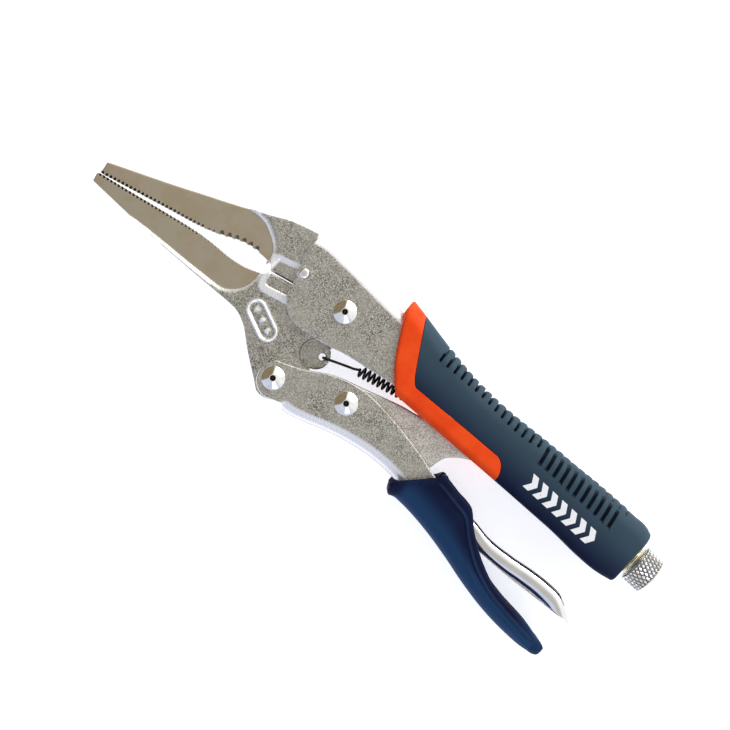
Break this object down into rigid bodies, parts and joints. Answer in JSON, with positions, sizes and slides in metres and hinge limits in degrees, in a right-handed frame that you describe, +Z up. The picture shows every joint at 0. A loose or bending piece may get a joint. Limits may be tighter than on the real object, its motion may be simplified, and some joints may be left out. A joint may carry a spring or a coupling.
{
  "type": "locking pliers",
  "caption": "Long-nose locking pliers: forged toothed jaws, pressed channel handles with rubber grips, toggle link, spring, release lever and knurled adjusting screw.",
  "frame": {"origin": "centre of the whole tool's footprint, on the surface that the tool lies on with its jaws closed and locked", "axes": "+X from the jaw tips to the adjusting knob along the screw's axis, +Y from the lower handle to the upper handle, +Z up through the tool's thickness, parallel to every pivot"},
  "size_m": [0.2305, 0.0612, 0.021],
  "materials": {
    "pebbled_nickel": "shot-blasted forging or pressing under matt nickel plate, with bright rolled edges",
    "forged_jaw": "shot-blasted nickel plate with ground flat faces and cut teeth",
    "bright_rivets": "polished nickel",
    "pin_steel": "plain steel",
    "spring_black": "black oxide spring wire",
    "nut_steel": "yellow-passivated turned nut",
    "navy_rubber": "satin moulded rubber",
    "orange_rubber": "satin moulded rubber",
    "link_steel": "fine sandy sintered steel, unpolished",
    "lever_chrome": "polished chrome plate",
    "screw_nickel": "bright nickel plate, knurled knob"
  },
  "bodies": {
    "upper_handle": {"upper_channel": "pebbled_nickel", "upper_jaw": "forged_jaw", "jaw_locating_rivet": "bright_rivets", "main_pivot_rivet": "bright_rivets", "spring_anchor_pin": "pin_steel", "tension_spring": "spring_black", "end_nut": "nut_steel", "upper_grip": "navy_rubber", "upper_grip_trim": "orange_rubber"},
    "lower_jaw": {"lower_jaw": "forged_jaw", "jaw_handle_rivet": "bright_rivets"},
    "lower_handle": {"lower_channel": "pebbled_nickel", "lower_grip": "navy_rubber", "link_rivet": "bright_rivets", "release_pin": "pin_steel"},
    "toggle_link": {"toggle_link": "link_steel"},
    "release_lever": {"release_lever": "lever_chrome"},
    "adjusting_screw": {"adjusting_screw": "screw_nickel"},
    "screw_knob": {"screw_knob": "screw_nickel"}
  },
  "joints": [
    {"name": "jaw_pivot", "type": "hinge", "parent": "upper_handle", "child": "lower_jaw", "pos_m": [-0.0219, 0.01195, 0.0105], "axis": [0, 0, 1], "range_deg": [0, 11.2], "deforming": ["tension_spring"]},
    {"name": "handle_pivot", "type": "hinge", "parent": "lower_jaw", "child": "lower_handle", "pos_m": [-0.0246, -0.02055, 0.0105], "axis": [0, 0, -1], "range_deg": [0, 44]},
    {"name": "link_pivot", "type": "hinge", "parent": "lower_handle", "child": "toggle_link", "pos_m": [-0.0009, -0.01025, 0.0105], "axis": [0, 0, 1], "range_deg": [0, 48.4]},
    {"name": "release_pivot", "type": "hinge", "parent": "lower_handle", "child": "release_lever", "pos_m": [0.0391, -0.01475, 0.0105], "axis": [0, 0, -1], "range_deg": [0, 8]},
    {"name": "screw_travel", "type": "slide", "parent": "upper_handle", "child": "adjusting_screw", "axis": [1, 0, 0], "range_m": [0, 0.02]},
    {"name": "screw_spin", "type": "hinge", "parent": "adjusting_screw", "child": "screw_knob", "pos_m": [0.1068, 0.01635, 0.0105], "axis": [1, 0, 0], "range_deg": [0, 5760]}
  ],
  "couplings": [
    {"joint": "jaw_pivot", "follows": "handle_pivot", "ratio": 0.25},
    {"joint": "link_pivot", "follows": "handle_pivot", "ratio": 1.09},
    {"joint": "screw_travel", "follows": "screw_spin", "m_per_rad": 0.00019894}
  ]
}
